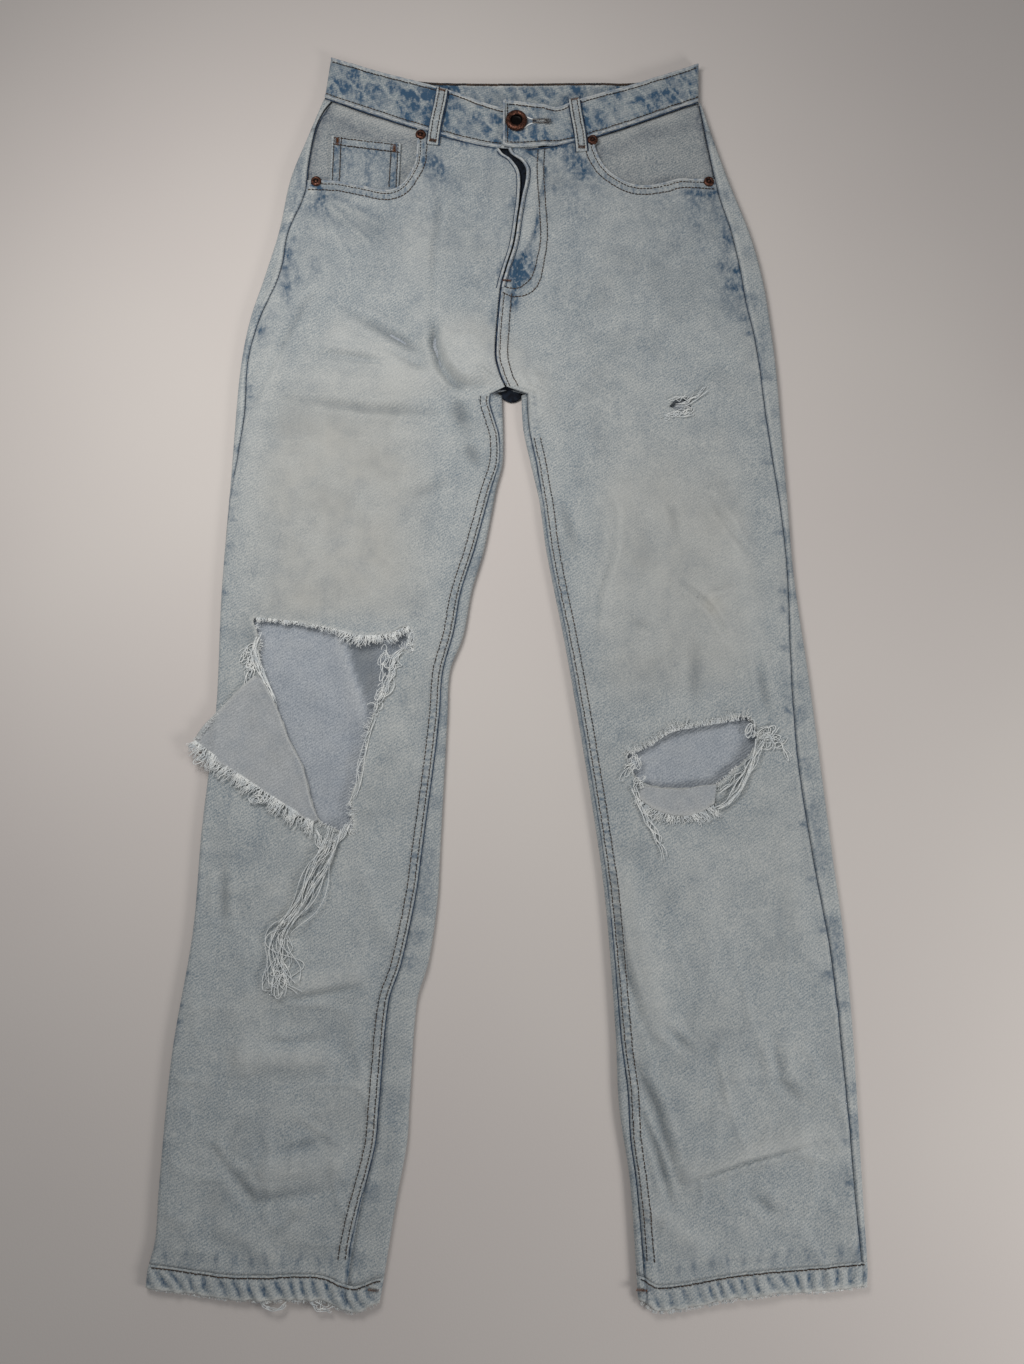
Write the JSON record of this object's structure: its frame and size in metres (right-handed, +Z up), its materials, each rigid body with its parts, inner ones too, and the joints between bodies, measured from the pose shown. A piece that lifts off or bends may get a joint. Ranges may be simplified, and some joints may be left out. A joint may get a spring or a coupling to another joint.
{
  "type": "ripped jeans",
  "caption": "High-rise straight-leg jeans in light washed denim, laid flat face up, with both knees torn through and frayed.",
  "frame": {"origin": "middle of the garment's outline, on the surface that it lies on", "axes": "+X towards the wearer's left, +Y from the hems to the waist, +Z up from the surface, out of the front"},
  "size_m": [0.574, 1.0858, 0.0155],
  "materials": {
    "denim": "stone-washed cotton twill, faded",
    "denim_band": "stone-washed cotton twill, folded double and mottled",
    "denim_facing": "washed cotton twill, slightly greyer",
    "yarn": "loose undyed cotton yarn",
    "copper": "aged copper plate"
  },
  "bodies": {
    "root": {"front_panel_right": "denim", "front_panel_left": "denim", "back_panel_right": "denim", "back_panel_left": "denim", "back_yoke_right": "denim", "back_yoke_left": "denim", "back_pocket_right": "denim", "back_pocket_left": "denim", "pocket_facing_right": "denim_facing", "pocket_facing_left": "denim_facing", "hem_right": "denim", "hem_left": "denim", "coin_pocket": "denim", "fly_shield": "denim_facing", "waistband": "denim_band", "belt_loop_front_right": "denim_band", "belt_loop_front_left": "denim_band", "belt_loop_back_right": "denim_band", "belt_loop_back_centre": "denim_band", "belt_loop_back_left": "denim_band", "torn_flap": "denim", "torn_lip": "denim", "fringe_knee_right_top": "yarn", "fringe_knee_right_side": "yarn", "fringe_knee_right_corner": "yarn", "fringe_flap": "yarn", "fringe_knee_left_top": "yarn", "fringe_knee_left_bottom": "yarn", "fringe_knee_left_side": "yarn", "yarn_bundle": "yarn", "button": "copper", "rivet_right_front": "copper", "rivet_right_side": "copper", "rivet_left_front": "copper", "rivet_left_side": "copper"}
  },
  "joints": []
}
